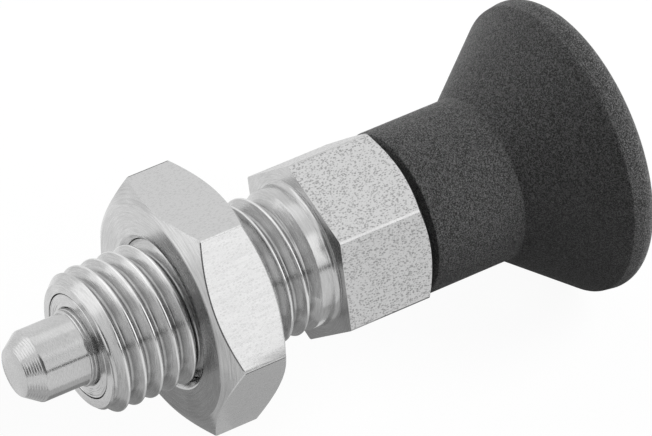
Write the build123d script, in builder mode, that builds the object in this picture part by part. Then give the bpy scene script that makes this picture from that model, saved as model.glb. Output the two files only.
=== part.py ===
from build123d import *

import os
from math import cos, pi, radians, sin, sqrt, tan

# Indexing plunger: a threaded sleeve with a hexagon, a spring-loaded pin that is pulled back by
# its knob, and a hexagon lock nut on the sleeve's thread.
#
# Every turned piece shares the X axis. +X is the way the knob is pulled, +Z is up, and x = 0 is the
# lock nut's front face, which bears on the plate that carries the plunger. Lengths are in
# millimetres. Turn angles are in degrees about X, from +Y towards +Z.

# --- Sleeve, hexagon and boss: the body -----------------------------------------------------------
thread_d = 12.0             # M12 x 1.5, drawn as a plain cylinder of the thread's outer diameter
sleeve_reach = 7.5          # from the sleeve's front end to the lock nut's front face
sleeve_l = 20.5             # from the sleeve's front end to the hexagon
lead_depth = 0.8            # lead chamfer at the front end, on the radius
lead_l = 0.9
relief_d = 10.2             # bottom of the relief groove that the thread runs out into
relief_l = 1.27
relief_lead = 0.5           # from the thread's crests to the groove's bottom
relief_floor = 0.16
shank_d = 11.9              # plain shank between the relief and the hexagon
shank_l = 1.53
shank_root = 0.35           # chamfer where the shank meets the hexagon
hex_af = 14.0
hex_l = 8.2
hex_turn = 18.2             # of one corner of the hexagon
hex_face_relief = 0.25      # from the flats in to the edge of the rear chamfer
boss_d = 10.4               # boss behind the hexagon, inside the knob's skirt

# --- Lock nut -------------------------------------------------------------------------------------
nut_af = 19.0
nut_l = 6.0
nut_turn = 54.0             # of one corner of the nut
nut_face_relief = 0.5       # from the flats in to the edges of the chamfers
nut_clearance = 0.05        # running clearance on the thread, on the radius
nut_countersink = 0.45
chamfer_angle = 30.0        # of the hexagon's and the nut's chamfers, from their end faces

# --- Plunger pin ----------------------------------------------------------------------------------
pin_d = 6.0
pin_reach = 5.75            # how far the pin stands out of the sleeve at rest
tip_sink = 0.25             # how far the pulled pin is inside the sleeve
tip_chamfer = 0.95          # on the radius
tip_l = 1.4
nose_l = 5.15               # from the tip to the step up to the guide
guide_step = 0.2            # on the radius
collar_l = 2.0
collar_clearance = 0.3      # in the spring chamber, on the radius
stem_d = 4.0
stem_clearance = 0.05       # running clearance in the body's back wall, on the radius
anchor_l = 7.5              # end of the stem that the knob is moulded round
groove_w = 2.5
groove_depth = 0.35

# --- Guide bush -----------------------------------------------------------------------------------
guide_clearance = 0.03      # running clearance, on the radius
guide_hold = 2.5            # of the pin's guide that is still in the bush when the pin is pulled
bush_edge = 0.1             # chamfer round the bush's front face
bush_wall = 1.2             # round the pin's guide
mouth_chamfer = 0.35        # chamfer round the mouth of its seat
chamber_lip = 0.4           # step that the bush is pressed against, on the radius

# --- Spring ---------------------------------------------------------------------------------------
wire_d = 0.65
wire_sides = 6              # the round wire and its coil are drawn with flats, which keeps the
coil_sides = 16             # spring's facets few
spring_l = 15.35            # between the collar and the chamber's floor, at rest
spring_clearance = 0.5      # between the coil and the chamber's wall
active_turns = 5
closed_gap = 0.04           # between the wire of an end turn and the next turn

# --- Knob -----------------------------------------------------------------------------------------
knob_gap = 0.5              # to the hexagon in front, and to the boss inside
knob_l = 17.55
neck_d = 14.0
neck_edge = 0.3
rim_d = 25.0
rim_edge = 1.6              # radius of the rim's rounding
rim_sides = 3               # flats that the rounding's quarter circle is drawn with
flare_angle = 37.9          # of the flare, from the axis
skirt_clearance = 0.4       # between the boss and the skirt, on the radius
skirt_lap = 0.3             # of the skirt that is still over the boss when the knob is pulled

# --- Radii and stations along X that follow from the sizes above ----------------------------------
stroke = pin_reach + tip_sink

thread_r = thread_d / 2
relief_r = relief_d / 2
shank_r = shank_d / 2
guide_r = pin_d / 2 + guide_step
bush_r = guide_r + bush_wall
chamber_r = bush_r - chamber_lip
collar_r = chamber_r - collar_clearance
stem_r = stem_d / 2
boss_r = boss_d / 2
neck_r = neck_d / 2

front_x = -sleeve_reach
hex_x = front_x + sleeve_l
hex_end_x = hex_x + hex_l
boss_end_x = hex_end_x + knob_gap + stroke + skirt_lap

tip_x = front_x - pin_reach
step_x = tip_x + nose_l
collar_x = step_x + stroke + guide_hold     # the back of the guide bush, which stops the collar
spring_x = collar_x + collar_l
chamber_end_x = spring_x + spring_l

knob_x = hex_end_x + knob_gap
socket_x = boss_end_x + knob_gap
stem_end_x = socket_x + anchor_l
knob_end_x = knob_x + knob_l


def turned(*outline):
    """Half section of a turned form, from its (x, radius) corners, to be revolved about X."""
    with BuildSketch(Plane.XY) as section:
        with BuildLine():
            Polyline(*outline, close=True)
        make_face()
    return section.sketch


def hexagon(x, across_flats, turn):
    """Hexagon across the axis at x, with one corner at the turn angle."""
    with BuildSketch(Plane.YZ.offset(x)) as section:
        RegularPolygon(across_flats / 2, 6, major_radius=False, rotation=turn)
    return section.sketch


def hexagon_chamfer(across_flats, face_relief):
    """Radius past a hexagon's corners, radius of its end face, and the chamfer's length between."""
    outer_r = across_flats / sqrt(3) + face_relief
    face_r = across_flats / 2 - face_relief
    return outer_r, face_r, (outer_r - face_r) * tan(radians(chamfer_angle))


os.makedirs("parts", exist_ok=True)

# --- Body: sleeve, hexagon and boss in one piece, bored from the front ----------------------------
hex_outer_r, hex_face_r, hex_chamfer_l = hexagon_chamfer(hex_af, hex_face_relief)
shank_x = hex_x - shank_l
relief_x = shank_x - relief_l
stem_hole_r = stem_r + stem_clearance

with BuildPart() as body:
    extrude(hexagon(hex_x, hex_af, hex_turn), amount=hex_l)
    revolve(
        turned(
            (hex_x, 0),
            (hex_x, hex_outer_r),
            (hex_end_x - hex_chamfer_l, hex_outer_r),
            (hex_end_x, hex_face_r),
            (hex_end_x, 0),
        ),
        axis=Axis.X,
        mode=Mode.INTERSECT,
    )
    revolve(
        turned(
            (front_x, 0),
            (front_x, thread_r - lead_depth),
            (front_x + lead_l, thread_r),
            (relief_x, thread_r),
            (relief_x + relief_lead, relief_r),
            (relief_x + relief_lead + relief_floor, relief_r),
            (shank_x, shank_r),
            (hex_x - shank_root, shank_r),
            (hex_x, shank_r + shank_root),
            (hex_x, 0),
        ),
        axis=Axis.X,
    )
    revolve(
        turned(
            (hex_end_x, 0),
            (hex_end_x, boss_r),
            (boss_end_x, boss_r),
            (boss_end_x, 0),
        ),
        axis=Axis.X,
    )
    # Bush seat, spring chamber and stem hole.
    revolve(
        turned(
            (front_x, 0),
            (front_x, bush_r + mouth_chamfer),
            (front_x + mouth_chamfer, bush_r),
            (collar_x, bush_r),
            (collar_x, chamber_r),
            (chamber_end_x, chamber_r),
            (chamber_end_x, stem_hole_r),
            (boss_end_x, stem_hole_r),
            (boss_end_x, 0),
        ),
        axis=Axis.X,
        mode=Mode.SUBTRACT,
    )
body.part.label = "body"
export_step(body.part, "parts/body.step")

# --- Guide bush: pressed into the sleeve, it guides the pin and stops its collar ------------------
guide_bore_r = guide_r + guide_clearance

with BuildPart() as guide_bush:
    revolve(
        turned(
            (front_x, guide_bore_r),
            (front_x, bush_r - bush_edge),
            (front_x + bush_edge, bush_r),
            (collar_x, bush_r),
            (collar_x, guide_bore_r),
        ),
        axis=Axis.X,
    )
guide_bush.part.label = "guide_bush"
export_step(guide_bush.part, "parts/guide_bush.step")

# --- Plunger pin: nose, guide, collar and stem in one piece, grooved where the knob grips it ------
groove_x = socket_x + (anchor_l - groove_w) / 2

with BuildPart() as plunger_pin:
    revolve(
        turned(
            (tip_x, 0),
            (tip_x, pin_d / 2 - tip_chamfer),
            (tip_x + tip_l, pin_d / 2),
            (step_x, pin_d / 2),
            (step_x, guide_r),
            (collar_x, guide_r),
            (collar_x, collar_r),
            (spring_x, collar_r),
            (spring_x, stem_r),
            (groove_x, stem_r),
            (groove_x, stem_r - groove_depth),
            (groove_x + groove_w, stem_r - groove_depth),
            (groove_x + groove_w, stem_r),
            (stem_end_x, stem_r),
            (stem_end_x, 0),
        ),
        axis=Axis.X,
    )
plunger_pin.part.label = "plunger_pin"
export_step(plunger_pin.part, "parts/plunger_pin.step")

# --- Spring: a compression spring with closed ends, ground flat -----------------------------------
coil_r = chamber_r - spring_clearance - wire_d / 2
closed_step = (wire_d + closed_gap) / coil_sides
active_step = (spring_l - 2 * coil_sides * closed_step) / (active_turns * coil_sides)
wire_r = wire_d / 2 * sqrt(pi / (wire_sides * sin(pi / wire_sides) * cos(pi / wire_sides)))

# How far each straight run of the coil advances: a closed turn, the active turns, a closed turn.
closed_runs = [closed_step] * coil_sides
runs = closed_runs + [active_step] * coil_sides * active_turns + closed_runs
bends = [
    (spring_x + sum(runs[:k]), -coil_r * sin(2 * pi * k / coil_sides), coil_r * cos(2 * pi * k / coil_sides))
    for k in range(len(runs) + 1)
]

with BuildPart() as spring:
    with BuildLine() as coil:
        Polyline(*bends)
    with BuildSketch(Plane(origin=coil.line @ 0, x_dir=(1, 0, 0), z_dir=coil.line % 0)) as wire:
        RegularPolygon(wire_r, wire_sides, rotation=180 / wire_sides)
    sweep(wire.sketch, path=coil.line, transition=Transition.RIGHT)
    split(bisect_by=Plane.YZ.offset(spring_x), keep=Keep.TOP)
    split(bisect_by=Plane.YZ.offset(chamber_end_x), keep=Keep.BOTTOM)
spring.part.label = "spring"
export_step(spring.part, "parts/spring.step")

# --- Knob: neck, flare and rounded rim, with a skirt over the boss, moulded round the stem --------
# The rim's rounding starts in line with the flat end face and runs on into the flare.
flare = radians(flare_angle)
rim_x = knob_end_x - rim_edge
rim_r = rim_d / 2 - rim_edge
rim_angles = [k * pi / 2 / rim_sides for k in range(rim_sides + 1)] + [pi / 2 + flare / 2, pi / 2 + flare]
rim = [(rim_x + rim_edge * cos(a), rim_r + rim_edge * sin(a)) for a in rim_angles]
flare_x, flare_r = rim[-1]
neck_end_x = flare_x - (flare_r - neck_r) / tan(flare)

with BuildPart() as knob:
    revolve(
        turned(
            (knob_end_x, 0),
            (knob_x, 0),
            (knob_x, neck_r - neck_edge),
            (knob_x + neck_edge, neck_r),
            (neck_end_x, neck_r),
            *reversed(rim),
        ),
        axis=Axis.X,
    )
    with BuildSketch(Plane.YZ.offset(knob_x)):
        Circle(boss_r + skirt_clearance)
    extrude(amount=socket_x - knob_x, mode=Mode.SUBTRACT)
    add(plunger_pin.part, mode=Mode.SUBTRACT)
knob.part.label = "knob"
export_step(knob.part, "parts/knob.step")

# --- Lock nut: chamfered on both faces, with a countersunk bore that runs on the thread -----------
nut_outer_r, nut_face_r, nut_chamfer_l = hexagon_chamfer(nut_af, nut_face_relief)
nut_bore_r = thread_r + nut_clearance

with BuildPart() as lock_nut:
    extrude(hexagon(0, nut_af, nut_turn), amount=nut_l)
    revolve(
        turned(
            (0, 0),
            (0, nut_face_r),
            (nut_chamfer_l, nut_outer_r),
            (nut_l - nut_chamfer_l, nut_outer_r),
            (nut_l, nut_face_r),
            (nut_l, 0),
        ),
        axis=Axis.X,
        mode=Mode.INTERSECT,
    )
    revolve(
        turned(
            (0, 0),
            (0, nut_bore_r + nut_countersink),
            (nut_countersink, nut_bore_r),
            (nut_l - nut_countersink, nut_bore_r),
            (nut_l, nut_bore_r + nut_countersink),
            (nut_l, 0),
        ),
        axis=Axis.X,
        mode=Mode.SUBTRACT,
    )
lock_nut.part.label = "lock_nut"
export_step(lock_nut.part, "parts/lock_nut.step")
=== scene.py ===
from math import cos, degrees, pi, radians, sin, sqrt, tan

import bpy
from bpy.props import FloatProperty, FloatVectorProperty, IntProperty, PointerProperty
from mathutils import Matrix, Vector


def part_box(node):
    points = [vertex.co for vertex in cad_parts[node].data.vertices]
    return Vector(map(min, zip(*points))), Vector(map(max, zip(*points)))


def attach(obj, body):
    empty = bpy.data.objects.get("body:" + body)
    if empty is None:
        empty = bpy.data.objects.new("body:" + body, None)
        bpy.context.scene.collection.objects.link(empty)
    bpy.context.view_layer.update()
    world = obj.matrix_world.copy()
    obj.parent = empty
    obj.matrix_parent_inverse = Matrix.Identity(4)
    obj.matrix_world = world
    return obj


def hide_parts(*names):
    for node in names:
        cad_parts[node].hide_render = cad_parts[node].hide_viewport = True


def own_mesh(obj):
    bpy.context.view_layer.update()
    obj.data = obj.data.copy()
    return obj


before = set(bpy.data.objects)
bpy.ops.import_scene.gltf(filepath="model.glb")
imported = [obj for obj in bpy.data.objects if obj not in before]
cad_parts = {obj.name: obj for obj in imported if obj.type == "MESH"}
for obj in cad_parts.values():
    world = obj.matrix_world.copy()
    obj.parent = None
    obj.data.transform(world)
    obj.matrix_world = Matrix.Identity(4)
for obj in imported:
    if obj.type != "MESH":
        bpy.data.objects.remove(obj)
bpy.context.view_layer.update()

bl_info = {
    "name": "Indexing Plunger",
    "version": (1, 0, 0),
    "blender": (4, 5, 0),
    "location": "3D View > Sidebar > Plunger",
    "description": "Models and finishes an indexing plunger with its lock nut",
    "category": "Add Mesh",
}

MM = 0.001
WELD = 2e-6                      # points nearer than this are merged
ON_PLANE = 1e-6                  # how near the plane through the axis a point lies on it
OVER = 0.1 * MM                  # by which a cutting form reaches past what it cuts
HEX_CHAMFER = radians(30)        # of the hexagons' corners, from their end faces

# The form of a metric thread, as shares of its pitch.
PITCH_LINE_SHARE = 0.6495        # diameter of the crests less the pitch diameter
THREAD_DEPTH_SHARE = 0.6134      # from the crests to the bottom of the groove
ROOT_BEND_SHARE = 0.1443         # radius of the groove's bottom
FLANK_ANGLE = radians(30)

FLOOR_Z = -12.5 * MM             # the knob's rim rests on it
LOWER_MAT_Z = -12.3 * MM
UPPER_MAT_Z = -12.2 * MM


def span(node):
    """First and last station of a node of the frame along the plunger's axis."""
    low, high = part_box(node)
    return low[0], high[0]


BODY_X, BODY_END_X = span("body")
TIP_X, STEM_END_X = span("plunger_pin")
SPRING_X, CHAMBER_END_X = span("spring")
BUSH_END_X = span("guide_bush")[1]
KNOB_X, KNOB_END_X = span("knob")
NUT_X, NUT_END_X = span("lock_nut")


# --- Sizes and finishes that a user would change --------------------------------------------------
def length(name, description, millimetres):
    """A length property with its default given in millimetres."""
    return FloatProperty(
        name=name,
        description=description,
        default=millimetres * MM,
        unit="LENGTH",
        subtype="DISTANCE",
        precision=5,
    )


def tint(name, description, colour):
    """A colour property."""
    return FloatVectorProperty(
        name=name, description=description, default=colour, size=3, min=0, max=1, subtype="COLOR"
    )


class PlungerSizes(bpy.types.PropertyGroup):
    """Sizes of the plunger's pieces"""

    thread_radius: length("Thread radius", "Radius of the thread's crests", 6.0)
    thread_pitch: length("Thread pitch", "Advance of the thread in one turn", 1.5)
    thread_end: length("Thread end", "Station where the thread's crests end", 10.2)
    crest_station: length(
        "Crest station", "Station of a crest on the top line of the sleeve", -3.78
    )
    relief_station: length("Relief station", "Bottom of the relief groove behind the thread", 10.78)
    relief_radius: length("Relief radius", "Radius of the bottom of the relief groove", 5.07)
    shank_station: length("Shank station", "Rear edge of the relief groove", 11.47)
    lead_chamfer: length("Lead chamfer", "Depth of the lead chamfer on the radius", 0.8)
    shank_radius: length("Shank radius", "Radius of the plain shank behind the thread", 5.95)
    hexagon_station: length("Hexagon station", "Front face of the hexagon", 13.0)
    hexagon_width: length("Hexagon width", "Width of the hexagon across its flats", 14.0)
    hexagon_end: length("Hexagon end", "Rear face of the hexagon", 21.2)
    boss_radius: length("Boss radius", "Radius of the boss behind the hexagon", 5.2)
    nut_width: length("Nut width", "Width of the lock nut across its flats", 19.0)
    nut_clearance: length("Nut clearance", "Clearance of the nut's bore on the thread", 0.05)
    pin_radius: length("Pin radius", "Radius of the index pin", 3.0)
    guide_radius: length("Guide radius", "Radius of the pin where it runs in the bush", 3.2)
    stem_radius: length("Stem radius", "Radius of the pin's stem", 2.0)
    bush_radius: length("Bush radius", "Radius of the guide bush", 4.4)
    chamber_radius: length("Chamber radius", "Radius of the spring chamber", 4.0)
    wire_diameter: length("Wire diameter", "Diameter of the spring's wire", 0.65)
    neck_radius: length("Neck radius", "Radius of the knob's neck", 7.0)
    rim_radius: length("Rim radius", "Radius of the knob's rim", 12.5)
    rim_edge: length("Rim edge", "Radius of the rounding of the knob's rim", 1.6)
    skirt_radius: length("Skirt radius", "Radius of the bore inside the knob's skirt", 5.6)
    flare_angle: FloatProperty(
        name="Flare angle",
        description="Angle of the knob's flare from the axis",
        default=radians(37.9),
        subtype="ANGLE",
    )
    hexagon_turn: FloatProperty(
        name="Hexagon turn",
        description="Turn of one corner of the hexagon about the axis",
        default=radians(18.2),
        subtype="ANGLE",
    )
    nut_turn: FloatProperty(
        name="Nut turn",
        description="Turn of one corner of the lock nut about the axis",
        default=radians(54.0),
        subtype="ANGLE",
    )
    round_steps: IntProperty(
        name="Round steps", description="Steps round a turned piece", default=192, min=48, max=360
    )


class PlungerFinishes(bpy.types.PropertyGroup):
    """Colours of the plunger's finishes"""

    turned: tint("Turned steel", "Colour of the threaded sleeve", (0.56, 0.56, 0.56))
    drawn: tint("Drawn bar", "Colour of the hexagon's flats", (0.58, 0.58, 0.58))
    nut: tint("Nut steel", "Colour of the lock nut", (0.56, 0.56, 0.56))
    ground: tint("Ground steel", "Colour of the index pin", (0.55, 0.55, 0.55))
    bush: tint("Bush steel", "Colour of the guide bush", (0.56, 0.56, 0.56))
    spring: tint("Spring steel", "Colour of the spring's wire", (0.45, 0.45, 0.45))
    plastic: tint("Knob plastic", "Colour of the knob", (0.071, 0.071, 0.071))


class PlungerStage(bpy.types.PropertyGroup):
    """Floor, lamps and camera"""

    floor_colour: tint("Floor", "Colour of the floor", (0.3, 0.3, 0.3))
    world_light: FloatProperty(name="World", description="Strength of the world", default=0.1)
    key_light: FloatProperty(
        name="Key lights",
        description="How strong the lamps are that reflections don't show",
        default=1.0,
    )
    softbox_light: FloatProperty(
        name="Softboxes", description="How much brighter than white the softboxes are", default=0.5
    )
    lens: FloatProperty(
        name="Lens", description="Focal length of the camera", default=328.6, unit="CAMERA"
    )


# --- Modelling by hand ----------------------------------------------------------------------------
def clear_selection():
    """Leaves edit mode and selects nothing."""
    if bpy.context.object and bpy.context.object.mode != "OBJECT":
        bpy.ops.object.mode_set(mode="OBJECT")
    bpy.ops.object.select_all(action="DESELECT")


def select_only(piece):
    """Selects one piece and makes it the active object."""
    clear_selection()
    piece.select_set(True)
    bpy.context.view_layer.objects.active = piece


def first_point(name, x, radius):
    """A new piece, in edit mode, that is one vertex above the axis."""
    clear_selection()
    bpy.ops.mesh.primitive_plane_add(size=MM, location=(0, 0, 0))
    piece = bpy.context.object
    piece.name = name
    piece.data.name = name
    bpy.ops.object.mode_set(mode="EDIT")
    bpy.ops.mesh.select_mode(type="VERT")
    bpy.ops.mesh.select_all(action="SELECT")
    bpy.ops.mesh.merge(type="CENTER")
    bpy.ops.transform.translate(value=(x, 0, radius))
    return piece


def close_up(smooth_angle=24):
    """Merges the doubles of the mesh being edited, turns its faces outwards and shades it."""
    bpy.ops.mesh.select_all(action="SELECT")
    bpy.ops.mesh.remove_doubles(threshold=WELD)
    bpy.ops.mesh.normals_make_consistent(inside=False)
    bpy.ops.object.mode_set(mode="OBJECT")
    bpy.ops.object.shade_smooth_by_angle(angle=radians(smooth_angle))


def turn(name, outline, steps, smooth_angle=24):
    """Turns an outline of (x, radius) points about the plunger's axis into a closed piece."""
    piece = first_point(name, *outline[0])
    for before, after in zip(outline, outline[1:]):
        step = (after[0] - before[0], 0, after[1] - before[1])
        bpy.ops.mesh.extrude_vertices_move(TRANSFORM_OT_translate={"value": step})
    bpy.ops.mesh.select_all(action="SELECT")
    bpy.ops.mesh.remove_doubles(threshold=WELD)
    bpy.ops.mesh.spin(
        steps=steps, angle=2 * pi, center=(0, 0, 0), axis=(1, 0, 0), use_auto_merge=True
    )
    close_up(smooth_angle)
    return piece


def arc(x, radius, bend, start, end, steps):
    """Points of an arc about (x, radius), from one angle to another, in degrees from the axis."""
    angles = [radians(start + (end - start) * k / steps) for k in range(steps + 1)]
    return [(x + bend * cos(a), radius + bend * sin(a)) for a in angles]


def prism(name, x, end_x, width, turned):
    """A hexagon bar across the axis, with one corner at the given turn from +Y towards +Z."""
    clear_selection()
    bpy.ops.mesh.primitive_cylinder_add(
        vertices=6, radius=width / sqrt(3), depth=end_x - x, location=(0, 0, 0)
    )
    piece = bpy.context.object
    piece.name = name
    piece.data.name = name
    # The cylinder stands on +Z with a corner on +Y. Laid along +X, that corner stays on +Y.
    lay = Matrix.Rotation(pi / 2, 4, "Y")
    place = Matrix.Translation(((x + end_x) / 2, 0, 0)) @ Matrix.Rotation(turned, 4, "X") @ lay
    piece.data.transform(place)
    return piece


def apply_modifier(piece, kind, **settings):
    """Adds a modifier with its settings and applies it."""
    select_only(piece)
    modifier = piece.modifiers.new(kind.title(), kind)
    for key, value in settings.items():
        setattr(modifier, key, value)
    bpy.ops.object.modifier_apply(modifier=modifier.name)


def combine(piece, other, operation):
    """Adds, cuts or meets a piece with another, which is used up."""
    apply_modifier(
        piece,
        "BOOLEAN",
        operation=operation,
        solver="EXACT",
        object=other,
        material_mode="TRANSFER",
    )
    bpy.data.objects.remove(other, do_unlink=True)
    if not piece.data.polygons:
        raise RuntimeError(f"{piece.name} came out empty")


def break_edges(piece, width, angle=28, material=-1):
    """Breaks the piece's sharp edges with one narrow facet."""
    apply_modifier(
        piece,
        "BEVEL",
        width=width,
        segments=1,
        material=material,
        limit_method="ANGLE",
        angle_limit=radians(angle),
        use_clamp_overlap=False,
        harden_normals=False,
        miter_outer="MITER_SHARP",
    )


def finish_piece(piece, body, nodes, materials=(), smooth_angle=24):
    """Shades a piece, gives it its materials and ties it to the frame."""
    select_only(piece)
    bpy.ops.object.shade_smooth_by_angle(angle=radians(smooth_angle))
    if materials:
        piece.data.materials.clear()
        for material in materials:
            piece.data.materials.append(material)
    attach(piece, body)
    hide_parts(*nodes)


# --- Finishes -------------------------------------------------------------------------------------
# A node's x and y are its place in the node editor.
def node(tree, kind, x, y, **settings):
    """Adds a shader node at a place in its tree."""
    made = tree.nodes.new(kind)
    made.location = (x, y)
    for key, value in settings.items():
        setattr(made, key, value)
    return made


def new_finish(name, colour, metallic, roughness):
    """A new material with plain values on its shader, and its object coordinates."""
    finish = bpy.data.materials.new(name)
    finish.use_nodes = True
    tree = finish.node_tree
    tree.nodes.clear()
    out = node(tree, "ShaderNodeOutputMaterial", 900, 0)
    shader = node(tree, "ShaderNodeBsdfPrincipled", 600, 0)
    tree.links.new(shader.outputs["BSDF"], out.inputs["Surface"])
    shader.inputs["Base Color"].default_value = (*colour, 1)
    shader.inputs["Metallic"].default_value = metallic
    shader.inputs["Roughness"].default_value = roughness
    place = node(tree, "ShaderNodeTexCoord", -1400, 0)
    return finish, tree, shader, place.outputs["Object"]


def math_node(tree, operation, a, b, x, y):
    """A Math node on sockets or numbers."""
    made = node(tree, "ShaderNodeMath", x, y, operation=operation)
    for socket, value in zip(made.inputs, (a, b)):
        if isinstance(value, (int, float)):
            socket.default_value = value
        elif value is not None:
            tree.links.new(value, socket)
    return made.outputs[0]


def ring_coordinates(tree, place):
    """Station along the axis, radius and turn of a point, as one vector."""
    turn_length = 0.6 * MM  # that one radian of turn counts as, so that the rings run far round
    parts = node(tree, "ShaderNodeSeparateXYZ", -1200, 0)
    tree.links.new(place, parts.inputs[0])
    square_y = math_node(tree, "MULTIPLY", parts.outputs[1], parts.outputs[1], -1000, -80)
    square_z = math_node(tree, "MULTIPLY", parts.outputs[2], parts.outputs[2], -1000, -240)
    square = math_node(tree, "ADD", square_y, square_z, -840, -160)
    radius = math_node(tree, "SQRT", square, None, -680, -160)
    turned = math_node(tree, "ARCTAN2", parts.outputs[2], parts.outputs[1], -1000, -400)
    along = math_node(tree, "MULTIPLY", turned, turn_length, -840, -400)
    joined = node(tree, "ShaderNodeCombineXYZ", -520, -100)
    tree.links.new(parts.outputs[0], joined.inputs[0])
    tree.links.new(radius, joined.inputs[1])
    tree.links.new(along, joined.inputs[2])
    return joined.outputs[0]


def ring_tangent(tree, place, shader):
    """Points the shader's tangent round the axis, as the tool marks of a lathe run."""
    around = node(tree, "ShaderNodeVectorMath", -400, 500, operation="CROSS_PRODUCT")
    around.inputs[0].default_value = (1, 0, 0)
    tree.links.new(place, around.inputs[1])
    world = node(
        tree,
        "ShaderNodeVectorTransform",
        -200,
        500,
        vector_type="VECTOR",
        convert_from="OBJECT",
        convert_to="WORLD",
    )
    tree.links.new(around.outputs[0], world.inputs[0])
    unit = node(tree, "ShaderNodeVectorMath", 0, 500, operation="NORMALIZE")
    tree.links.new(world.outputs[0], unit.inputs[0])
    tree.links.new(unit.outputs[0], shader.inputs["Tangent"])


def noise(tree, coordinates, scale, detail, x, y, roughness=0.5):
    """Noise on the given coordinates, with its scale given per millimetre."""
    made = node(tree, "ShaderNodeTexNoise", x, y)
    made.inputs["Scale"].default_value = scale / MM
    made.inputs["Detail"].default_value = detail
    made.inputs["Roughness"].default_value = roughness
    tree.links.new(coordinates, made.inputs["Vector"])
    return made.outputs["Fac"]


def relief(tree, shader, height, depth):
    """Gives the shader a fine relief, with its depth in millimetres."""
    bump = node(tree, "ShaderNodeBump", 400, -300)
    bump.inputs["Strength"].default_value = 1
    bump.inputs["Distance"].default_value = depth * MM
    tree.links.new(height, bump.inputs["Height"])
    tree.links.new(bump.outputs[0], shader.inputs["Normal"])


def spread(tree, value, low, high, x, y, first=0.3, last=0.7):
    """Maps a value's range from first to last to a range from low to high."""
    made = node(tree, "ShaderNodeMapRange", x, y)
    made.inputs["From Min"].default_value = first
    made.inputs["From Max"].default_value = last
    made.inputs["To Min"].default_value = low
    made.inputs["To Max"].default_value = high
    tree.links.new(value, made.inputs["Value"])
    return made.outputs["Result"]


def shade(tree, value, colour, low, high, shader):
    """Lets a value darken or lighten the shader's colour between two factors."""
    mixed = node(tree, "ShaderNodeMix", 300, 200, data_type="RGBA")
    mixed.inputs[6].default_value = (*[c * low for c in colour], 1)
    mixed.inputs[7].default_value = (*[min(c * high, 1) for c in colour], 1)
    tree.links.new(value, mixed.inputs[0])
    tree.links.new(mixed.outputs[2], shader.inputs["Base Color"])


def thread_painted_light(tree, rings, shader, root, root_shade, crest, end):
    """Paints shade where the radius is small, and a highlight on the crests up to the thread's end.
    """
    face_x, lead_x = BODY_X + 0.7 * MM, BODY_X + 0.9 * MM
    parts = node(tree, "ShaderNodeSeparateXYZ", -500, 700)
    tree.links.new(rings, parts.inputs[0])
    station, radius = parts.outputs[0], parts.outputs[1]
    # Painted shade, with the residue that collects there: the colour darkens wherever the radius is
    # less than 0.35 mm above the grooves' bottom, so in the thread's grooves, the relief groove, on
    # the boss and in the bores, but not at the sleeve's front end.
    level = spread(tree, radius, root_shade, 1, -300, 700, root, root + 0.35 * MM)
    front = spread(tree, station, 1, 0, -300, 900, face_x, lead_x)
    level = math_node(tree, "MAXIMUM", level, front, -100, 800)
    # Painted highlight along the crests, which also stands for their wear, only ahead of the
    # thread's end.
    edge, highlight_top = crest - 0.07 * MM, crest - 0.02 * MM
    crest_highlight_and_wear = spread(tree, radius, 0, 0.35, -300, 1100, edge, highlight_top)
    ahead = math_node(tree, "LESS_THAN", station, end, -300, 1300)
    crest_highlight_and_wear = math_node(tree, "MULTIPLY", crest_highlight_and_wear, ahead, -100, 1200)
    level = math_node(tree, "ADD", level, crest_highlight_and_wear, 50, 900)
    plain = shader.inputs["Base Color"].links[0].from_socket
    mixed = node(tree, "ShaderNodeMix", 450, 200, data_type="RGBA", blend_type="MULTIPLY")
    mixed.inputs[0].default_value = 1
    tree.links.new(plain, mixed.inputs[6])
    tree.links.new(level, mixed.inputs[7])
    tree.links.new(mixed.outputs[2], shader.inputs["Base Color"])


def turned_finish(name, colour, roughness, line_scale, depth, anisotropy=0.5, thread=None):
    """Steel turned on a lathe: fine rings round the axis. A thread gets painted shade and
    highlight.
    """
    finish, tree, shader, place = new_finish(name, colour, 1.0, roughness)
    rings = ring_coordinates(tree, place)
    lines = noise(tree, rings, line_scale, 2, -300, -200, 0.6)
    cloud = noise(tree, place, 0.35, 2, -300, 200)
    cloud = math_node(tree, "MULTIPLY", cloud, 0.5, -100, 200)
    marks = math_node(tree, "ADD", lines, cloud, 50, 200)
    marks = spread(tree, marks, 0, 1, 150, 200, 0.5, 1.0)
    shade(tree, marks, colour, 0.82, 1.12, shader)
    if thread:
        thread_painted_light(tree, rings, shader, **thread)
    rough = spread(tree, lines, roughness - 0.05, roughness + 0.07, 0, 0)
    tree.links.new(rough, shader.inputs["Roughness"])
    shader.inputs["Anisotropic"].default_value = anisotropy
    # The tool marks run round the axis and spread the light across themselves.
    shader.inputs["Anisotropic Rotation"].default_value = 0.25
    ring_tangent(tree, place, shader)
    relief(tree, shader, lines, depth)
    return finish


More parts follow.
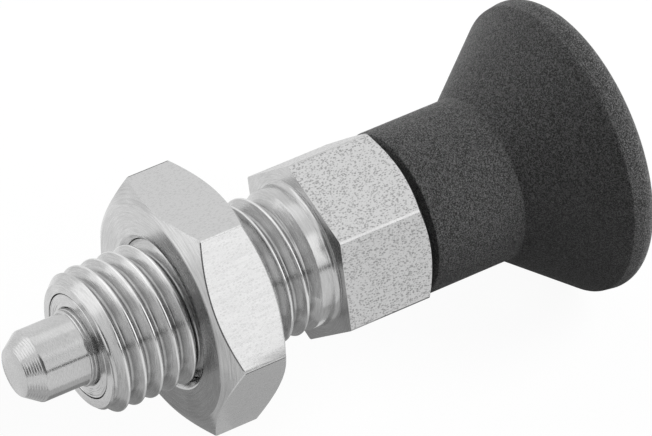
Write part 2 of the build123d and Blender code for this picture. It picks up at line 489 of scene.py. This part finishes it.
def drawn_finish(name, colour, roughness, depth, scale, pit_shade, pit_share, softness, patchy):
    """Flats of a drawn bar: faint streaks along the axis and fine dark pits in patches."""
    finish, tree, shader, place = new_finish(name, colour, 1.0, roughness)
    longways = node(tree, "ShaderNodeMapping", -1000, -300)
    longways.inputs["Scale"].default_value = (0.12, 1, 1)
    tree.links.new(place, longways.inputs["Vector"])
    streaks = noise(tree, longways.outputs[0], 3.4, 5, -600, -200, 0.65)
    short = node(tree, "ShaderNodeMapping", -1000, -600)
    short.inputs["Scale"].default_value = (0.6, 1, 1)
    tree.links.new(place, short.inputs["Vector"])
    dots = node(tree, "ShaderNodeTexVoronoi", -600, -500, feature="F1")
    dots.inputs["Scale"].default_value = scale / MM
    tree.links.new(short.outputs[0], dots.inputs["Vector"])
    patches = noise(tree, place, 0.5, 2, -600, -800)
    # Each cell has a pit of its own size at its middle, larger where the patches are strong.
    size = math_node(tree, "MULTIPLY", dots.outputs["Color"], pit_share, -400, -500)
    patches = math_node(tree, "MULTIPLY", patches, patchy, -400, -800)
    size = math_node(tree, "ADD", size, patches, -250, -600)
    streaked = math_node(tree, "MULTIPLY", streaks, -0.12, -400, -200)
    size = math_node(tree, "ADD", size, streaked, -100, -600)
    level = math_node(tree, "SUBTRACT", dots.outputs["Distance"], size, 0, -500)
    whole = spread(tree, level, 0, 1, 150, -500, -softness, softness)
    shade(tree, whole, colour, pit_shade, 1.05, shader)
    rough = spread(tree, streaks, roughness - 0.04, roughness + 0.06, 0, 0)
    tree.links.new(rough, shader.inputs["Roughness"])
    if depth:
        relief(tree, shader, whole, depth)
    return finish


def plastic_finish(name, colour):
    """Moulded plastic with a fine leather grain."""
    finish, tree, shader, place = new_finish(name, colour, 0.0, 0.45)
    shader.inputs["Specular IOR Level"].default_value = 0.2
    cells = node(tree, "ShaderNodeTexVoronoi", -500, -200, feature="F1")
    cells.inputs["Scale"].default_value = 13 / MM
    tree.links.new(place, cells.inputs["Vector"])
    soft = noise(tree, place, 12, 1, -500, -500)
    soft = math_node(tree, "MULTIPLY", soft, 0.6, -350, -500)
    both = math_node(tree, "ADD", cells.outputs["Color"], soft, -200, -300)
    grain = spread(tree, both, 0, 1, 0, -300, 0.6, 1.3)
    shade(tree, grain, colour, 0.35, 2.7, shader)
    tree.links.new(spread(tree, grain, 0.52, 0.38, 0, 0, 0, 1), shader.inputs["Roughness"])
    relief(tree, shader, grain, 0.14)
    return finish


# --- The pieces -----------------------------------------------------------------------------------
def select_section(mesh, station, reach):
    """Selects the points straight above the axis that lie near a station."""
    for vertex in mesh.vertices:
        point = vertex.co
        near = abs(point.x - station) < reach
        vertex.select = abs(point.y) < ON_PLANE and point.z > 0 and near


def thread_groove(sizes):
    """The helical groove of the thread: a closed bar that is cut out of the sleeve."""
    pitch = sizes.thread_pitch
    crest = sizes.thread_radius
    pitch_line = crest - PITCH_LINE_SHARE * pitch / 2
    root_bend = ROOT_BEND_SHARE * pitch
    root_centre = crest - THREAD_DEPTH_SHARE * pitch + root_bend
    edge = crest - 0.07 * MM
    edge_half = pitch / 4 + (edge - pitch_line) * tan(FLANK_ANGLE)
    root_angles = [radians(angle) for angle in (0, 20, 40, 60)]
    right = [(root_bend * sin(a), root_centre - root_bend * cos(a)) for a in root_angles]
    right += [
        (edge_half, edge),
        (edge_half + 0.045 * MM, edge + 0.045 * MM),
        (edge_half + 0.10 * MM, crest + 0.005 * MM),
        (edge_half + 0.12 * MM, crest + OVER),
    ]
    left = [(-x, radius) for x, radius in reversed(right[1:])]
    # The groove's centre lies half a pitch from a crest. It starts in the air, before the sleeve.
    start = sizes.crest_station + pitch / 2
    while start > BODY_X - pitch:
        start -= pitch
    turns = int((sizes.relief_station - start) / pitch)
    outline = [(start + x, radius) for x, radius in right + left]
    piece = first_point("thread_groove", *outline[0])
    for before, after in zip(outline, outline[1:] + outline[:1]):
        step = (after[0] - before[0], 0, after[1] - before[1])
        bpy.ops.mesh.extrude_vertices_move(TRANSFORM_OT_translate={"value": step})
    bpy.ops.mesh.select_all(action="SELECT")
    bpy.ops.mesh.remove_doubles(threshold=WELD)
    bpy.ops.object.mode_set(mode="OBJECT")
    per_turn = 120
    apply_modifier(
        piece,
        "SCREW",
        axis="X",
        angle=2 * pi,
        screw_offset=pitch,
        iterations=turns,
        steps=per_turn,
        render_steps=per_turn,
        use_merge_vertices=False,
    )
    # It runs on into the relief groove, and rises there in its last few steps.
    end = start + turns * pitch
    mesh = piece.data
    bpy.ops.object.mode_set(mode="EDIT")
    bpy.ops.mesh.select_mode(type="VERT")
    bpy.ops.mesh.select_all(action="DESELECT")
    bpy.ops.object.mode_set(mode="OBJECT")
    select_section(mesh, end, pitch / 2)
    bpy.ops.object.mode_set(mode="EDIT")
    part = 2 * pi / per_turn
    rest = round((sizes.relief_station - end) / pitch * per_turn)
    rising = 10
    climb = 0.3 * MM
    for k in range(rest + rising):
        bpy.ops.mesh.extrude_region_move(
            TRANSFORM_OT_translate={"value": (pitch / per_turn, 0, 0)}
        )
        bpy.ops.transform.rotate(
            value=-part, orient_axis="X", orient_type="GLOBAL", center_override=(0, 0, 0)
        )
        if k >= rest:
            way = part * (k + 1)
            lift = climb / rising
            bpy.ops.transform.translate(value=(0, -sin(way) * lift, cos(way) * lift))
    bpy.ops.mesh.edge_face_add()
    bpy.ops.mesh.select_all(action="DESELECT")
    bpy.ops.object.mode_set(mode="OBJECT")
    select_section(mesh, start, pitch / 2)
    bpy.ops.object.mode_set(mode="EDIT")
    bpy.ops.mesh.edge_face_add()
    close_up()
    return piece


class PLUNGER_OT_body(bpy.types.Operator):
    """Model the body: threaded sleeve, hexagon and boss in one piece"""

    bl_idname = "plunger.body"
    bl_label = "Body"
    bl_options = {"REGISTER", "UNDO"}

    def execute(self, context):
        sizes = context.scene.plunger_sizes
        finishes = context.scene.plunger_finishes
        turned = turned_finish(
            "turned_sleeve",
            finishes.turned,
            roughness=0.22,
            line_scale=9,
            depth=0.008,
            # The thread's grooves get painted shade and its crests a painted highlight.
            thread={"root": 5.1 * MM, "root_shade": 0.74, "crest": 6.0 * MM, "end": 10.3 * MM},
        )
        drawn = drawn_finish(
            "drawn_flats",
            finishes.drawn,
            roughness=0.34,
            depth=0.012,
            scale=8.5,
            pit_shade=0.55,
            pit_share=0.62,
            softness=0.17,
            patchy=0.15,
        )

        crest = sizes.thread_radius
        shank = sizes.shank_radius
        hex_x, hex_end = sizes.hexagon_station, sizes.hexagon_end
        bush = sizes.bush_radius
        relief_x, relief_r = sizes.relief_station, sizes.relief_radius
        shank_x = sizes.shank_station
        fillet = 0.45 * MM            # where the shank meets the hexagon
        neck_r = 5.0 * MM             # inside the hexagon, which is added round it
        boss_edge = 0.3 * MM
        stem_hole = sizes.stem_radius + 0.05 * MM
        mouth = (BODY_X, bush + 0.04 * MM)
        outline = [
            mouth,
            (BODY_X, crest - sizes.lead_chamfer),
            (BODY_X + 0.9 * MM, crest),
            (sizes.thread_end - 0.05 * MM, crest),
            (sizes.thread_end + 0.01 * MM, crest - 0.04 * MM),
            (relief_x - 0.1 * MM, relief_r + 0.05 * MM),
            (relief_x - 0.05 * MM, relief_r),
            (relief_x + 0.05 * MM, relief_r),
            (relief_x + 0.11 * MM, relief_r + 0.05 * MM),
            (shank_x - 0.04 * MM, shank - 0.06 * MM),
            (shank_x + 0.02 * MM, shank - 0.01 * MM),
            (shank_x + 0.08 * MM, shank),
            (hex_x - fillet, shank),
            *arc(hex_x - fillet, shank + fillet, fillet, 270, 345, 6)[1:],
            (hex_x + 0.2 * MM, shank + 0.4 * MM),
            (hex_x + 0.6 * MM, neck_r),
            (hex_end - 0.5 * MM, neck_r),
            (hex_end - 0.2 * MM, sizes.boss_radius),
            (BODY_END_X - boss_edge, sizes.boss_radius),
            (BODY_END_X, sizes.boss_radius - boss_edge),
            (BODY_END_X, stem_hole),
            (CHAMBER_END_X, stem_hole),
            (CHAMBER_END_X, sizes.chamber_radius),
            (BUSH_END_X, sizes.chamber_radius),
            (BUSH_END_X, bush),
            (BODY_X + 0.3 * MM, bush),
            mouth,
        ]
        body = turn("threaded_body", outline, sizes.round_steps)
        body.data.materials.append(turned)
        combine(body, thread_groove(sizes), "DIFFERENCE")

        width = sizes.hexagon_width
        bar = prism("hexagon_bar", hex_x - MM, hex_end + MM, width, sizes.hexagon_turn)
        bar.data.materials.append(drawn)
        bar.data.materials.append(turned)
        break_edges(bar, 0.12 * MM, material=1)
        flats, corner = width / 2, width / sqrt(3)
        face_relief = 0.25 * MM       # from the flats in to the edge of the chamfer
        rise = (corner + OVER - flats + face_relief) * tan(HEX_CHAMFER)
        blank = turn(
            "hexagon_blank",
            [
                (hex_x, 0),
                (hex_x, corner + OVER),
                (hex_end - rise, corner + OVER),
                (hex_end, flats - face_relief),
                (hex_end, 0),
            ],
            sizes.round_steps,
        )
        blank.data.materials.append(turned)
        combine(bar, blank, "INTERSECT")
        combine(body, bar, "UNION")
        select_only(body)
        bpy.ops.object.mode_set(mode="EDIT")
        close_up()
        finish_piece(body, "sleeve", ["body"])
        return {"FINISHED"}


class PLUNGER_OT_bush(bpy.types.Operator):
    """Model the guide bush that is pressed into the sleeve"""

    bl_idname = "plunger.bush"
    bl_label = "Guide bush"
    bl_options = {"REGISTER", "UNDO"}

    def execute(self, context):
        sizes = context.scene.plunger_sizes
        finishes = context.scene.plunger_finishes
        bore = sizes.guide_radius + 0.03 * MM
        edge = 0.12 * MM
        # Fine rings that the facing tool left: each falls in slowly and steps back out. They are
        # given in millimetres, from and to a distance from the bore, and by their depth.
        rings = []
        for start, end, deep in (
            (0.24, 0.40, 0.03),
            (0.46, 0.60, 0.025),
            (0.64, 0.74, 0.015),
            (0.80, 0.98, 0.03),
        ):
            rings += [
                (BODY_X, bore + start * MM),
                (BODY_X + deep * MM, bore + end * MM),
                (BODY_X, bore + (end + 0.03) * MM),
            ]
        bush = turn(
            "bored_bush",
            [
                (BODY_X + edge, bore),
                (BODY_X, bore + edge),
                *rings,
                (BODY_X, sizes.bush_radius - 0.1 * MM),
                (BODY_X + 0.04 * MM, sizes.bush_radius - 0.06 * MM),
                (BODY_X + 0.35 * MM, sizes.bush_radius),
                (BUSH_END_X, sizes.bush_radius),
                (BUSH_END_X, bore),
                (BODY_X + edge, bore),
            ],
            sizes.round_steps,
        )
        finish = turned_finish(
            "turned_bush", finishes.bush, roughness=0.12, line_scale=12, depth=0.004
        )
        finish_piece(bush, "sleeve", ["guide_bush"], [finish])
        return {"FINISHED"}


class PLUNGER_OT_pin(bpy.types.Operator):
    """Model the index pin with its guide, collar and stem"""

    bl_idname = "plunger.pin"
    bl_label = "Index pin"
    bl_options = {"REGISTER", "UNDO"}

    def execute(self, context):
        sizes = context.scene.plunger_sizes
        finishes = context.scene.plunger_finishes
        nose, guide, stem = sizes.pin_radius, sizes.guide_radius, sizes.stem_radius
        collar = sizes.chamber_radius - 0.3 * MM
        collar_edge = 0.05 * MM
        # The knob's plastic fills this groove and so holds the stem.
        groove_x, groove_length, groove_depth = STEM_END_X - 5 * MM, 2.5 * MM, 0.35 * MM
        # The chamfer keeps the fine ridges of its turning.
        chamfer_x, chamfer_r = TIP_X + 0.10 * MM, nose - 0.89 * MM
        run, climb = 1.23 * MM, 0.84 * MM
        count = 7
        ridges = []
        for k in range(count):
            for along, up in ((k, k), (k + 0.33, k + 0.07)):
                ridges.append((chamfer_x + run * along / count, chamfer_r + climb * up / count))
        pin = turn(
            "index_pin",
            [
                (TIP_X, 0),
                (TIP_X, 1.2 * MM),
                (TIP_X, nose - 1.02 * MM),
                (TIP_X + 0.03 * MM, nose - 0.95 * MM),
                *ridges,
                (TIP_X + 1.33 * MM, nose - 0.05 * MM),
                (TIP_X + 1.45 * MM, nose),
                (TIP_X + 5.05 * MM, nose),
                (TIP_X + 5.15 * MM, nose + 0.04 * MM),
                (TIP_X + 5.18 * MM, guide - 0.06 * MM),
                (TIP_X + 5.25 * MM, guide),
                (TIP_X + 5.38 * MM, guide),
                (TIP_X + 5.42 * MM, guide - 0.04 * MM),
                (TIP_X + 5.50 * MM, guide - 0.04 * MM),
                (TIP_X + 5.55 * MM, guide),
                (BUSH_END_X, guide),
                (BUSH_END_X, collar - collar_edge),
                (BUSH_END_X + collar_edge, collar),
                (SPRING_X - collar_edge, collar),
                (SPRING_X, collar - collar_edge),
                (SPRING_X, stem),
                (groove_x, stem),
                (groove_x, stem - groove_depth),
                (groove_x + groove_length, stem - groove_depth),
                (groove_x + groove_length, stem),
                (STEM_END_X, stem),
                (STEM_END_X, 0),
            ],
            sizes.round_steps,
        )
        finish = turned_finish(
            "ground_pin", finishes.ground, roughness=0.2, line_scale=14, depth=0.006
        )
        finish_piece(pin, "plunger", ["plunger_pin"], [finish])
        return {"FINISHED"}


class PLUNGER_OT_spring(bpy.types.Operator):
    """Wind the compression spring round the stem"""

    bl_idname = "plunger.spring"
    bl_label = "Spring"
    bl_options = {"REGISTER", "UNDO"}

    def execute(self, context):
        sizes = context.scene.plunger_sizes
        finishes = context.scene.plunger_finishes
        wire = sizes.wire_diameter / 2
        coil = sizes.chamber_radius - 0.5 * MM - wire
        closed = sizes.wire_diameter + 0.04 * MM
        active_turns, per_turn, stroke = 5, 36, 6 * MM
        clear_selection()
        bpy.ops.mesh.primitive_circle_add(
            vertices=14, radius=wire, location=(0, 0, 0), rotation=(pi / 2, 0, 0)
        )
        spring = bpy.context.object
        spring.name = spring.data.name = "coil_spring"
        bpy.ops.object.transform_apply(location=True, rotation=True, scale=True)
        bpy.ops.object.mode_set(mode="EDIT")
        bpy.ops.mesh.select_all(action="SELECT")
        bpy.ops.transform.translate(value=(SPRING_X + wire, 0, coil))
        bpy.ops.mesh.edge_face_add()
        active = (CHAMBER_END_X - SPRING_X - 2 * wire - 2 * closed) / active_turns
        part = 2 * pi / per_turn
        for advance, turns in ((closed, 1), (active, active_turns), (closed, 1)):
            for _ in range(turns * per_turn):
                bpy.ops.mesh.extrude_region_move(
                    TRANSFORM_OT_translate={"value": (advance / per_turn, 0, 0)}
                )
                bpy.ops.transform.rotate(
                    value=-part, orient_axis="X", orient_type="GLOBAL", center_override=(0, 0, 0)
                )
        close_up(60)
        finish = turned_finish(
            "drawn_wire",
            finishes.spring,
            roughness=0.3,
            line_scale=6,
            depth=0.004,
            anisotropy=0.2,
        )
        finish_piece(spring, "spring", ["spring"], [finish], 60)
        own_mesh(spring)
        return {"FINISHED"}


class PLUNGER_OT_nut(bpy.types.Operator):
    """Model the lock nut, chamfered on both faces"""

    bl_idname = "plunger.nut"
    bl_label = "Lock nut"
    bl_options = {"REGISTER", "UNDO"}

    def execute(self, context):
        sizes = context.scene.plunger_sizes
        finishes = context.scene.plunger_finishes
        milled = drawn_finish(
            "nut_flats",
            finishes.nut,
            roughness=0.24,
            depth=0,
            scale=7,
            pit_shade=0.93,
            pit_share=0.7,
            softness=0.2,
            patchy=0,
        )
        faced = turned_finish("nut_faces", finishes.nut, roughness=0.22, line_scale=7, depth=0.008)
        width = sizes.nut_width
        flats, corner = width / 2, width / sqrt(3)
        bore = sizes.thread_radius + sizes.nut_clearance
        face_relief = 0.5 * MM        # from the flats in to the edges of the chamfers
        countersink = 0.45 * MM
        rise = (corner + OVER - flats + face_relief) * tan(HEX_CHAMFER)
        bar = prism("lock_nut_ring", NUT_X - MM, NUT_END_X + MM, width, sizes.nut_turn)
        bar.data.materials.append(milled)
        bar.data.materials.append(faced)
        break_edges(bar, 0.08 * MM, material=1)
        blank = turn(
            "nut_blank",
            [
                (NUT_X, bore + countersink),
                (NUT_X, flats - face_relief),
                (NUT_X + rise, corner + OVER),
                (NUT_END_X - rise, corner + OVER),
                (NUT_END_X, flats - face_relief),
                (NUT_END_X, bore + countersink),
                (NUT_END_X - countersink, bore),
                (NUT_X + countersink, bore),
                (NUT_X, bore + countersink),
            ],
            sizes.round_steps,
        )
        blank.data.materials.append(faced)
        combine(bar, blank, "INTERSECT")
        break_edges(bar, 0.07 * MM, angle=20)
        select_only(bar)
        bpy.ops.object.mode_set(mode="EDIT")
        close_up()
        finish_piece(bar, "nut", ["lock_nut"], smooth_angle=18)
        return {"FINISHED"}


class PLUNGER_OT_knob(bpy.types.Operator):
    """Model the moulded knob with its neck, flare and rounded rim"""

    bl_idname = "plunger.knob"
    bl_label = "Knob"
    bl_options = {"REGISTER", "UNDO"}

    def execute(self, context):
        sizes = context.scene.plunger_sizes
        finishes = context.scene.plunger_finishes
        flare = sizes.flare_angle
        neck = sizes.neck_radius
        rim_x = KNOB_END_X - sizes.rim_edge
        rim_r = sizes.rim_radius - sizes.rim_edge
        flare_x = rim_x - sizes.rim_edge * sin(flare)
        flare_r = rim_r + sizes.rim_edge * cos(flare)
        # The flare runs on to a narrow band round the rim, which rounds over into the end face.
        band_r = flare_r + 0.2 * MM
        band_x = flare_x + (band_r - flare_r) / tan(flare)
        crease = 0.05 * MM
        round_over = 1.3 * MM
        rim = [
            (flare_x, flare_r),
            (band_x - crease, band_r - crease * tan(flare)),
            (band_x, band_r - 0.01 * MM),
            (band_x + 0.08 * MM, band_r + 0.01 * MM),
            *arc(KNOB_END_X - round_over, sizes.rim_radius - round_over, round_over, 94, 0, 16),
        ]
        neck_end = flare_x - (flare_r - neck) / tan(flare)
        bend = 0.15 * MM
        lead = bend * tan(flare / 2)
        root = arc(neck_end - lead, neck + bend, bend, 270, 270 + degrees(flare), 8)
        hole = sizes.stem_radius
        anchor_x = STEM_END_X - 7.5 * MM
        knob = turn(
            "flared_knob",
            [
                (KNOB_X, sizes.skirt_radius),
                (KNOB_X, neck - 0.3 * MM),
                (KNOB_X + 0.09 * MM, neck - 0.09 * MM),
                (KNOB_X + 0.3 * MM, neck),
                *root,
                *rim,
                (KNOB_END_X, 0),
                (STEM_END_X, 0),
                (STEM_END_X, hole),
                (anchor_x, hole),
                (anchor_x, sizes.skirt_radius),
                (KNOB_X, sizes.skirt_radius),
            ],
            sizes.round_steps,
        )
        finish = plastic_finish("grained_plastic", finishes.plastic)
        finish_piece(knob, "plunger", ["knob"], [finish])
        return {"FINISHED"}


# --- The stage ------------------------------------------------------------------------------------
def toward(azimuth, height):
    """Direction from the plunger, by its azimuth from +X towards +Y and its height, in degrees."""
    turned, raised = radians(azimuth), radians(height)
    return Vector((cos(turned) * cos(raised), sin(turned) * cos(raised), sin(raised)))


def lay_floor(stage):
    """The floor, which looks nearly white to the camera and throws little light."""
    clear_selection()
    bpy.ops.mesh.primitive_plane_add(size=3, location=(0, 0, FLOOR_Z))
    floor = bpy.context.object
    floor.name = "floor"
    paper = bpy.data.materials.new("paper")
    paper.use_nodes = True
    tree = paper.node_tree
    tree.nodes.clear()
    out = node(tree, "ShaderNodeOutputMaterial", 600, 0)
    matte = node(tree, "ShaderNodeBsdfDiffuse", 0, 0)
    matte.inputs["Color"].default_value = (*stage.floor_colour, 1)
    white = node(tree, "ShaderNodeEmission", 0, -200)
    rays = node(tree, "ShaderNodeLightPath", -600, 0)
    in_mirrors = 0.9            # share of its whiteness that reflections show
    glowing_share = 0.8         # share of the white that glows, the rest being lit by the lamps
    glow = 1.17                 # how bright the glowing share is
    mirrored = math_node(tree, "MULTIPLY", rays.outputs["Is Glossy Ray"], in_mirrors, -400, -150)
    seen = math_node(tree, "MAXIMUM", rays.outputs["Is Camera Ray"], mirrored, -400, 0)
    seen = math_node(tree, "MAXIMUM", seen, rays.outputs["Is Transmission Ray"], -200, 0)
    share = math_node(tree, "MULTIPLY", seen, glowing_share, 0, 150)
    mixed = node(tree, "ShaderNodeMixShader", 300, 0)
    tree.links.new(share, mixed.inputs[0])
    tree.links.new(matte.outputs[0], mixed.inputs[1])
    tree.links.new(white.outputs[0], mixed.inputs[2])
    white.inputs["Strength"].default_value = glow
    tree.links.new(mixed.outputs[0], out.inputs["Surface"])
    floor.data.materials.append(paper)


def light_world(scene, stage):
    """The world: white to look at, and much weaker as a light."""
    world = bpy.data.worlds.new("studio")
    scene.world = world
    world.use_nodes = True
    tree = world.node_tree
    tree.nodes.clear()
    out = node(tree, "ShaderNodeOutputWorld", 600, 0)
    light = node(tree, "ShaderNodeBackground", 0, 0)
    light.inputs["Color"].default_value = (1, 1, 1, 1)
    light.inputs["Strength"].default_value = stage.world_light
    white = node(tree, "ShaderNodeBackground", 0, -200)
    white.inputs["Color"].default_value = (1, 1, 1, 1)
    white.inputs["Strength"].default_value = 1.0
    rays = node(tree, "ShaderNodeLightPath", -600, 0)
    camera_ray, glossy_ray = rays.outputs["Is Camera Ray"], rays.outputs["Is Glossy Ray"]
    seen = math_node(tree, "MAXIMUM", camera_ray, glossy_ray, -400, 0)
    seen = math_node(tree, "MAXIMUM", seen, rays.outputs["Is Transmission Ray"], -200, 0)
    mixed = node(tree, "ShaderNodeMixShader", 300, 0)
    tree.links.new(seen, mixed.inputs[0])
    tree.links.new(light.outputs[0], mixed.inputs[1])
    tree.links.new(white.outputs[0], mixed.inputs[2])
    tree.links.new(mixed.outputs[0], out.inputs["Surface"])


def place_lamps(scene, stage):
    """The softboxes, which the metal reflects, and the key lamps, which reflections don't show."""
    # Each is given by its direction, its distance, its width and height, how much light it throws
    # on a face turned to it, and how much brighter than white the reflections show it.
    for name, azimuth, height, away, wide, tall, thrown, shown in (
        ("back_softbox", 149, 27, 0.6, 0.48, 0.50, 0, 1.0),
        ("side_softbox", -60, 38, 0.6, 0.30, 0.50, 0, 1.0),
        ("top_softbox", 67, 68, 0.6, 0.42, 0.30, 0, 0.5),
        ("side_key", -22, 36, 0.6, 0.30, 0.50, 1.15, 0),
        ("low_key", -36, 5, 0.6, 0.40, 0.12, 0.5, 0),
        ("back_key", 105, 26, 0.6, 0.40, 0.34, 0.75, 0),
    ):
        lamp = bpy.data.lights.new(name, "AREA")
        lamp.shape = "RECTANGLE"
        lamp.size = wide
        lamp.size_y = tall
        box = bpy.data.objects.new(name, lamp)
        if shown:
            lamp.energy = shown * stage.softbox_light * pi * wide * tall
        else:
            lamp.energy = thrown * stage.key_light * (pi * away) ** 2
            box.visible_glossy = False
        box.location = away * toward(azimuth, height)
        box.rotation_euler = box.location.to_track_quat("Z", "Y").to_euler()
        scene.collection.objects.link(box)


def glowing(name, brightness):
    """A material that only glows, where white is 1, for painted reflections; it is no lamp."""
    glow_material = bpy.data.materials.new(name)
    glow_material.use_nodes = True
    tree = glow_material.node_tree
    tree.nodes.clear()
    out = node(tree, "ShaderNodeOutputMaterial", 300, 0)
    glow = node(tree, "ShaderNodeEmission", 0, 0)
    glow.inputs["Strength"].default_value = brightness
    tree.links.new(glow.outputs[0], out.inputs["Surface"])
    return glow_material


def place_painted_reflections():
    """Painted reflections: glowing cards round the plunger and mats under it, that only reflections
    show.
    """
    # Each has its place, its width and height and its brightness, where white is 1. The mats lie
    # just above the floor, some of them over others. The dark cards and strip are painted dark
    # reflections. The mats darker than white are painted shade and shadow on the floor round and
    # under the plunger, as reflections show it; the back mat is a painted patch of light on the
    # floor behind.
    for name, place, wide, tall, brightness in (
        ("dark_reflection_card", 0.75 * toward(-135, 20), 0.8, 0.8, 0.14),
        ("dark_reflection_strip", Vector((0.02, -0.6, 0.118)), 0.9, 0.06, 0.0),
        ("front_painted_shade_mat", Vector((-0.0585, -0.008, UPPER_MAT_Z)), 0.033, 0.014, 0.75),
        ("under_painted_shade_mat", Vector((0.0015, 0.00025, UPPER_MAT_Z)), 0.025, 0.0105, 0.33),
        ("near_painted_shade_mat", Vector((-0.018, -0.004, LOWER_MAT_Z)), 0.048, 0.017, 0.62),
        ("shank_painted_shade_mat", Vector((0.012, -0.0095, UPPER_MAT_Z)), 0.016, 0.009, 0.55),
        ("hexagon_painted_shade_mat", Vector((0.0095, 0.0075, UPPER_MAT_Z)), 0.017, 0.004, 0.25),
        ("knob_painted_shade_mat", Vector((0.031, -0.002, UPPER_MAT_Z)), 0.022, 0.024, 0.2),
        ("back_painted_light_mat", Vector((0.005, 0.030, LOWER_MAT_Z)), 0.13, 0.031, 1.02),
    ):
        clear_selection()
        bpy.ops.mesh.primitive_plane_add(size=1, location=place)
        card = bpy.context.object
        card.name = name
        card.scale = (wide, tall, 1)
        if not name.endswith("mat"):
            card.rotation_euler = place.to_track_quat("Z", "Y").to_euler()
        card.data.materials.append(glowing(name, brightness))
        # They are painted light: no camera sees them, and they throw no light and cast no shadow.
        card.visible_camera = False
        card.visible_diffuse = False
        card.visible_shadow = False


def place_camera(scene, stage):
    """The camera, above and beside the pin's end."""
    camera = bpy.data.cameras.new("camera")
    camera.lens = stage.lens
    camera.sensor_width = 36
    camera.clip_start = 0.02
    camera.clip_end = 5
    eye = bpy.data.objects.new("camera", camera)
    eye.location = (-0.1788, -0.3025, 0.30985)
    eye.rotation_euler = (radians(49.48), 0, radians(-32.72))
    scene.collection.objects.link(eye)
    scene.camera = eye


class PLUNGER_OT_stage(bpy.types.Operator):
    """Set the floor, the lamps, the world and the camera"""

    bl_idname = "plunger.stage"
    bl_label = "Stage"
    bl_options = {"REGISTER", "UNDO"}

    def execute(self, context):
        scene = context.scene
        stage = scene.plunger_stage
        scene.view_settings.view_transform = "Standard"
        lay_floor(stage)
        light_world(scene, stage)
        place_lamps(scene, stage)
        place_painted_reflections()
        place_camera(scene, stage)
        return {"FINISHED"}


class PLUNGER_PT_sidebar(bpy.types.Panel):
    """Pieces of the plunger and their sizes"""

    bl_idname = "PLUNGER_PT_sidebar"
    bl_label = "Indexing Plunger"
    bl_space_type = "VIEW_3D"
    bl_region_type = "UI"
    bl_category = "Plunger"

    def draw(self, context):
        layout = self.layout
        for operator in OPERATORS:
            layout.operator(operator.bl_idname)
        scene = context.scene
        for settings in (scene.plunger_sizes, scene.plunger_finishes, scene.plunger_stage):
            box = layout.box()
            for key in type(settings).__annotations__:
                box.prop(settings, key)


OPERATORS = (
    PLUNGER_OT_body,
    PLUNGER_OT_bush,
    PLUNGER_OT_pin,
    PLUNGER_OT_spring,
    PLUNGER_OT_nut,
    PLUNGER_OT_knob,
    PLUNGER_OT_stage,
)
CLASSES = (PlungerSizes, PlungerFinishes, PlungerStage, *OPERATORS, PLUNGER_PT_sidebar)


def register():
    """Registers the settings, the operators and the panel."""
    for part in CLASSES:
        bpy.utils.register_class(part)
    bpy.types.Scene.plunger_sizes = PointerProperty(type=PlungerSizes)
    bpy.types.Scene.plunger_finishes = PointerProperty(type=PlungerFinishes)
    bpy.types.Scene.plunger_stage = PointerProperty(type=PlungerStage)


def unregister():
    """Takes back what register adds."""
    del bpy.types.Scene.plunger_stage
    del bpy.types.Scene.plunger_finishes
    del bpy.types.Scene.plunger_sizes
    for part in reversed(CLASSES):
        bpy.utils.unregister_class(part)


def main():
    """Builds every piece and the stage."""
    register()
    bpy.ops.plunger.body()
    bpy.ops.plunger.bush()
    bpy.ops.plunger.pin()
    bpy.ops.plunger.spring()
    bpy.ops.plunger.nut()
    bpy.ops.plunger.knob()
    bpy.ops.plunger.stage()


if __name__ == "__main__":
    main()
